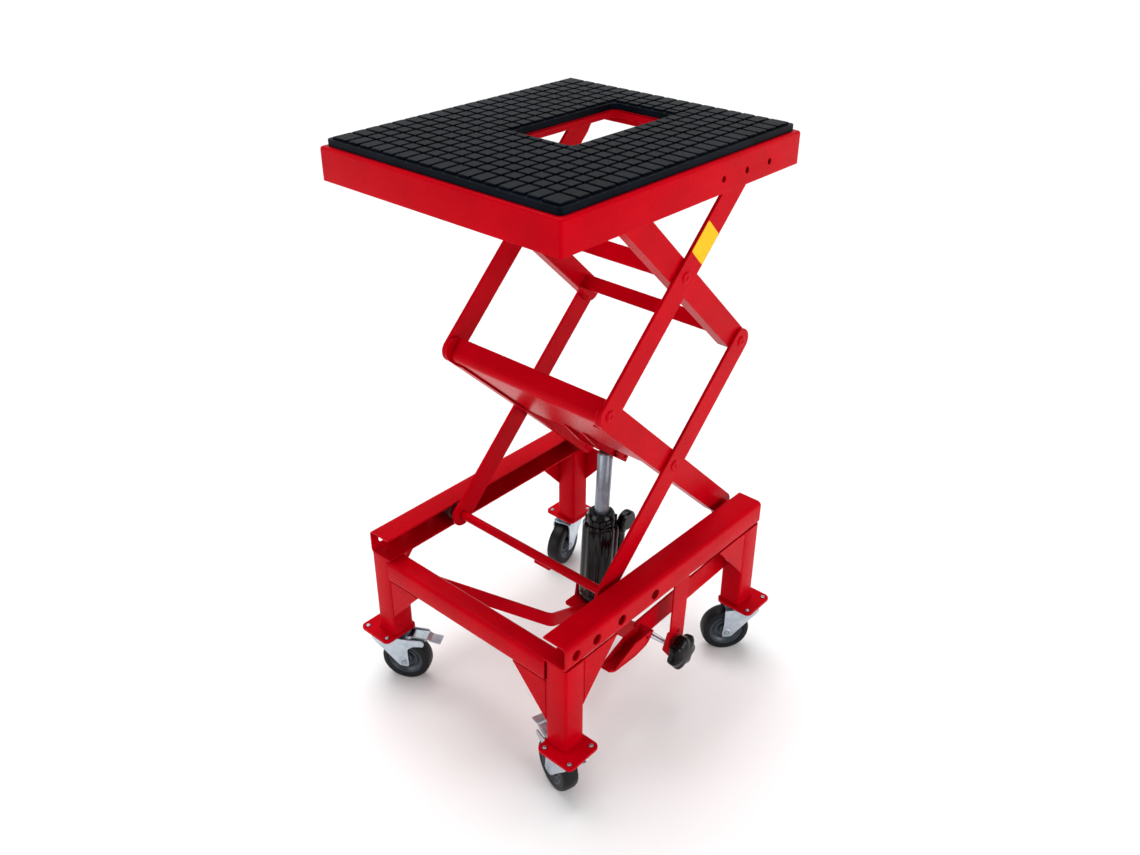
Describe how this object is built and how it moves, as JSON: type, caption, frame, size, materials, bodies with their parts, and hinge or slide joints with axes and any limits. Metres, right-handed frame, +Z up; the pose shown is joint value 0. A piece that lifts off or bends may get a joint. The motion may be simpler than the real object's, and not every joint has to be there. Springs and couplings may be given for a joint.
{
  "type": "scissor lift table",
  "caption": "Red hydraulic scissor lift table with a rubber-matted deck, double scissor arms, foot-pumped jack and a low frame on swivel casters.",
  "frame": {"origin": "on the floor under the middle of the bounding box", "axes": "+X from the sliding end towards the fixed-pivot end of the frame, +Y to the left side, away from the release knob, +Z up"},
  "size_m": [0.4994, 0.448, 0.881],
  "materials": {
    "red_paint": "gloss red paint",
    "zinc_plate": "bright zinc plating",
    "chrome_ram": "ground and polished",
    "black_paint": "gloss black paint",
    "mat_rubber": "moulded black rubber",
    "wheel_rubber": "grey-black rubber tread",
    "black_plastic": "moulded black plastic",
    "roller_nylon": "dark nylon",
    "wheel_hub": "blue-grey moulded hub",
    "yellow_label": "plain yellow film"
  },
  "bodies": {
    "base_frame": {"left_rail": "red_paint", "right_rail": "red_paint", "front_crossbar": "red_paint", "rear_crossmember": "red_paint", "front_cradle_strap": "red_paint", "side_cradle_strap": "red_paint", "jack_saddle": "red_paint", "release_bracket": "red_paint", "front_left_leg": "red_paint", "front_left_pad": "red_paint", "front_right_leg": "red_paint", "front_right_pad": "red_paint", "rear_right_leg": "red_paint", "rear_right_pad": "red_paint", "rear_left_leg": "red_paint", "rear_left_pad": "red_paint"},
    "lower_inner_frame": {"lower_inner_arm_left": "red_paint", "lower_inner_arm_right": "red_paint", "lower_cross_panel": "red_paint", "jack_clevis": "red_paint"},
    "lower_outer_frame": {"lower_outer_arm_left": "red_paint", "lower_outer_arm_right": "red_paint", "lower_tie_rod": "red_paint"},
    "upper_inner_frame": {"upper_inner_arm_left": "red_paint", "upper_inner_arm_right": "red_paint", "upper_rear_tie": "red_paint", "upper_middle_tie": "red_paint"},
    "upper_outer_frame": {"upper_outer_arm_left": "red_paint", "upper_outer_arm_right": "red_paint"},
    "platform": {"deck_plate": "red_paint", "deck_side_left": "red_paint", "deck_side_right": "red_paint", "deck_front_skirt": "red_paint", "deck_rear_skirt": "red_paint", "rubber_mat": "mat_rubber"},
    "jack_barrel": {"jack_body": "black_paint"},
    "jack_piston": {"jack_ram": "chrome_ram"},
    "release_valve": {"release_knob": "black_plastic"},
    "pump_pedal": {"foot_pedal": "red_paint"},
    "base_roller_left_wheel": {"base_roller_left": "roller_nylon"},
    "deck_roller_left_wheel": {"deck_roller_left": "roller_nylon"},
    "base_roller_right_wheel": {"base_roller_right": "roller_nylon"},
    "deck_roller_right_wheel": {"deck_roller_right": "roller_nylon"},
    "front_left_swivel": {"front_left_fork": "zinc_plate"},
    "front_left_wheel": {"front_left_wheel": "wheel_rubber"},
    "front_left_brake": {"front_left_brake_pedal": "zinc_plate"},
    "front_right_swivel": {"front_right_fork": "zinc_plate"},
    "front_right_wheel": {"front_right_wheel": "wheel_rubber"},
    "front_right_brake": {"front_right_brake_pedal": "zinc_plate"},
    "rear_right_swivel": {"rear_right_fork": "zinc_plate"},
    "rear_right_wheel": {"rear_right_wheel": "wheel_rubber"},
    "rear_left_swivel": {"rear_left_fork": "zinc_plate"},
    "rear_left_wheel": {"rear_left_wheel": "wheel_rubber"}
  },
  "joints": [
    {"name": "lift", "type": "hinge", "parent": "base_frame", "child": "lower_inner_frame", "pos_m": [0.208, 0, 0.268], "axis": [0, 1, 0], "range_deg": [-36, 0]},
    {"name": "lower_centre", "type": "hinge", "parent": "lower_inner_frame", "child": "lower_outer_frame", "pos_m": [0.05899, 0, 0.4124], "axis": [0, 1, 0], "range_deg": [-1, 73]},
    {"name": "rear_middle", "type": "hinge", "parent": "lower_outer_frame", "child": "upper_inner_frame", "pos_m": [0.208, 0, 0.5568], "axis": [0, 1, 0], "range_deg": [-73, 1]},
    {"name": "upper_centre", "type": "hinge", "parent": "upper_inner_frame", "child": "upper_outer_frame", "pos_m": [0.05899, 0, 0.70121], "axis": [0, 1, 0], "range_deg": [-1, 73]},
    {"name": "deck_pivot", "type": "hinge", "parent": "upper_outer_frame", "child": "platform", "pos_m": [0.208, 0, 0.84561], "axis": [0, 1, 0], "range_deg": [-37, 1]},
    {"name": "jack_tilt", "type": "hinge", "parent": "base_frame", "child": "jack_barrel", "pos_m": [0.068, 0, 0.1], "axis": [0, 1, 0], "range_deg": [-10.5, 0.5]},
    {"name": "ram_slide", "type": "slide", "parent": "jack_barrel", "child": "jack_piston", "axis": [0.0592, 0, 0.9982], "range_m": [-0.0925, 0.0005]},
    {"name": "release_turn", "type": "hinge", "parent": "base_frame", "child": "release_valve", "pos_m": [0.02, -0.212, 0.124], "axis": [0, 1, 0], "range_deg": [0, 180]},
    {"name": "pedal_press", "type": "hinge", "parent": "base_frame", "child": "pump_pedal", "pos_m": [-0.036, -0.183, 0.19], "axis": [0, 1, 0], "range_deg": [-12, 0], "stiffness_Nm_per_rad": 3, "springref_deg": 5.73},
    {"name": "base_roller_left_spin", "type": "hinge", "parent": "lower_outer_frame", "child": "base_roller_left_wheel", "pos_m": [-0.09002, 0.172, 0.268], "axis": [0, 1, 0], "continuous": true},
    {"name": "deck_roller_left_spin", "type": "hinge", "parent": "upper_inner_frame", "child": "deck_roller_left_wheel", "pos_m": [-0.09002, 0.172, 0.84561], "axis": [0, 1, 0], "continuous": true},
    {"name": "base_roller_right_spin", "type": "hinge", "parent": "lower_outer_frame", "child": "base_roller_right_wheel", "pos_m": [-0.09002, -0.172, 0.268], "axis": [0, 1, 0], "continuous": true},
    {"name": "deck_roller_right_spin", "type": "hinge", "parent": "upper_inner_frame", "child": "deck_roller_right_wheel", "pos_m": [-0.09002, -0.172, 0.84561], "axis": [0, 1, 0], "continuous": true},
    {"name": "front_left_swivel_turn", "type": "hinge", "parent": "base_frame", "child": "front_left_swivel", "pos_m": [-0.2177, 0.192, 0.086], "axis": [0, 0, 1], "continuous": true},
    {"name": "front_left_wheel_spin", "type": "hinge", "parent": "front_left_swivel", "child": "front_left_wheel", "pos_m": [-0.2037, 0.16775, 0.04], "axis": [0.866, 0.5, 0], "continuous": true},
    {"name": "front_left_brake_press", "type": "hinge", "parent": "front_left_swivel", "child": "front_left_brake", "pos_m": [-0.2012, 0.16342, 0.084], "axis": [0.866, 0.5, 0], "range_deg": [0, 10]},
    {"name": "front_right_swivel_turn", "type": "hinge", "parent": "base_frame", "child": "front_right_swivel", "pos_m": [-0.2177, -0.192, 0.086], "axis": [0, 0, 1], "continuous": true},
    {"name": "front_right_wheel_spin", "type": "hinge", "parent": "front_right_swivel", "child": "front_right_wheel", "pos_m": [-0.20905, -0.16537, 0.04], "axis": [-0.9511, 0.309, 0], "continuous": true},
    {"name": "front_right_brake_press", "type": "hinge", "parent": "front_right_swivel", "child": "front_right_brake", "pos_m": [-0.2075, -0.16062, 0.084], "axis": [-0.9511, 0.309, 0], "range_deg": [0, 10]},
    {"name": "rear_right_swivel_turn", "type": "hinge", "parent": "base_frame", "child": "rear_right_swivel", "pos_m": [0.2177, -0.192, 0.086], "axis": [0, 0, 1], "continuous": true},
    {"name": "rear_right_wheel_spin", "type": "hinge", "parent": "rear_right_swivel", "child": "rear_right_wheel", "pos_m": [0.19689, -0.17326, 0.04], "axis": [-0.6691, -0.7431, 0], "continuous": true},
    {"name": "rear_left_swivel_turn", "type": "hinge", "parent": "base_frame", "child": "rear_left_swivel", "pos_m": [0.2177, 0.192, 0.086], "axis": [0, 0, 1], "continuous": true},
    {"name": "rear_left_wheel_spin", "type": "hinge", "parent": "rear_left_swivel", "child": "rear_left_wheel", "pos_m": [0.19042, 0.1857, 0.04], "axis": [0.225, -0.9744, 0], "continuous": true}
  ],
  "couplings": [
    {"joint": "lower_centre", "follows": "lift", "ratio": -2},
    {"joint": "rear_middle", "follows": "lift", "ratio": 2},
    {"joint": "upper_centre", "follows": "lift", "ratio": -2},
    {"joint": "deck_pivot", "follows": "lift", "ratio": 1},
    {"joint": "jack_tilt", "follows": "lift", "ratio": 0.27505},
    {"joint": "ram_slide", "follows": "lift", "m_per_rad": 0.14592}
  ]
}
